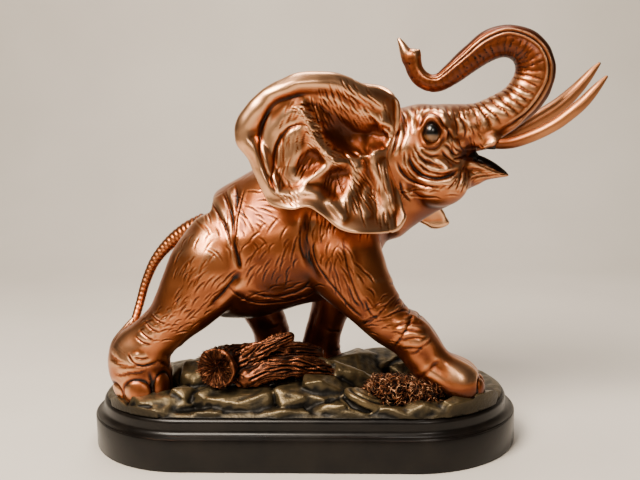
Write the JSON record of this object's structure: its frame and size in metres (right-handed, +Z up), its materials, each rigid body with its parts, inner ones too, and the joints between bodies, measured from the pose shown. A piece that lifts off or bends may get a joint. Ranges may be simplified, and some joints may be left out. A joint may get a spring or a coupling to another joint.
{
  "type": "resin elephant sculpture",
  "caption": "Trumpeting African elephant striding over rocks, cast in one with its ground, on a moulded oval-ended plinth.",
  "frame": {"origin": "middle of the plinth's flat underside", "axes": "+X along the plinth towards the elephant's head, +Z up"},
  "size_m": [0.3334, 0.136, 0.2679],
  "materials": {
    "copper_plate": "satin copper plating over cast resin, dark patina in the creases",
    "plinth_black": "black satin lacquer",
    "ground_patina": "dark olive-brown patina, rubbed lighter on the edges",
    "eye_black": "gloss black lacquer"
  },
  "bodies": {
    "root": {"elephant_casting": "copper_plate", "plinth": "plinth_black"}
  },
  "joints": []
}
